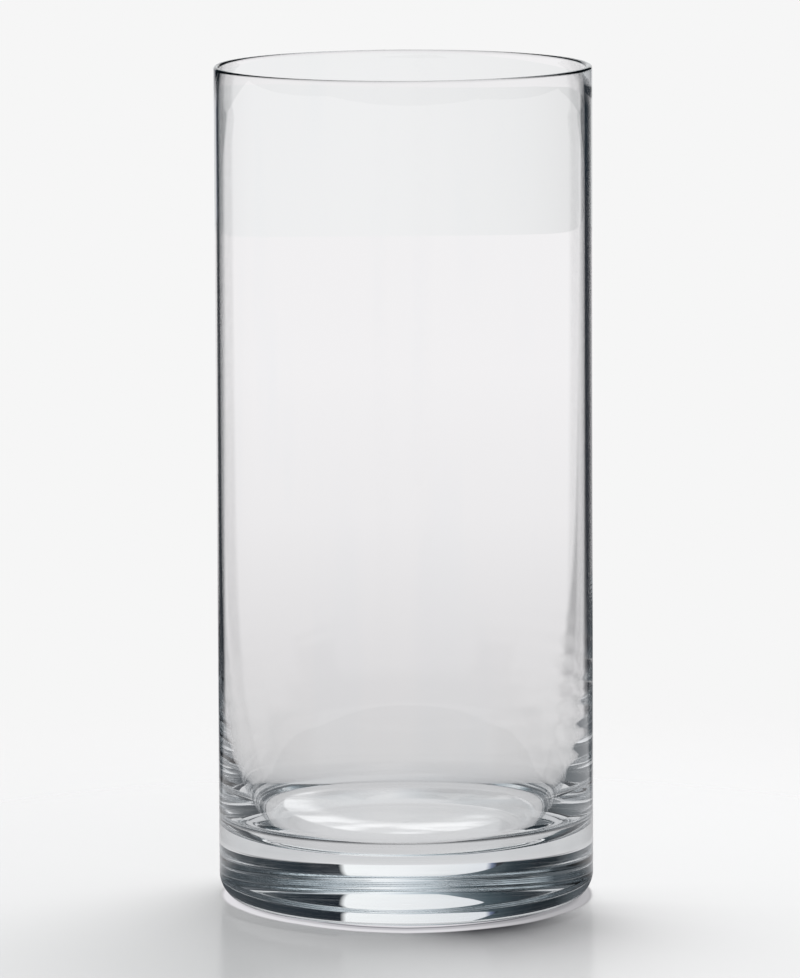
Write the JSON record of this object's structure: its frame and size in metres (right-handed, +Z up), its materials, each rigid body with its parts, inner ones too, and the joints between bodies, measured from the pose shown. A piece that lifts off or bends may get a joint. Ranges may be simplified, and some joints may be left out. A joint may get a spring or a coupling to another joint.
{
  "type": "cylinder vase",
  "caption": "Clear glass cylinder vase with a straight thin wall, an open mouth, a polished rim and a heavy solid base.",
  "frame": {"origin": "centre of the foot, on the surface the vase stands on", "axes": "+Z up along the vase's axis, from the foot to the open mouth; the vase is round, so X and Y are any two level directions"},
  "size_m": [0.1142, 0.1142, 0.254],
  "materials": {
    "clear_glass": "polished"
  },
  "bodies": {
    "root": {"vase_body": "clear_glass"}
  },
  "joints": []
}
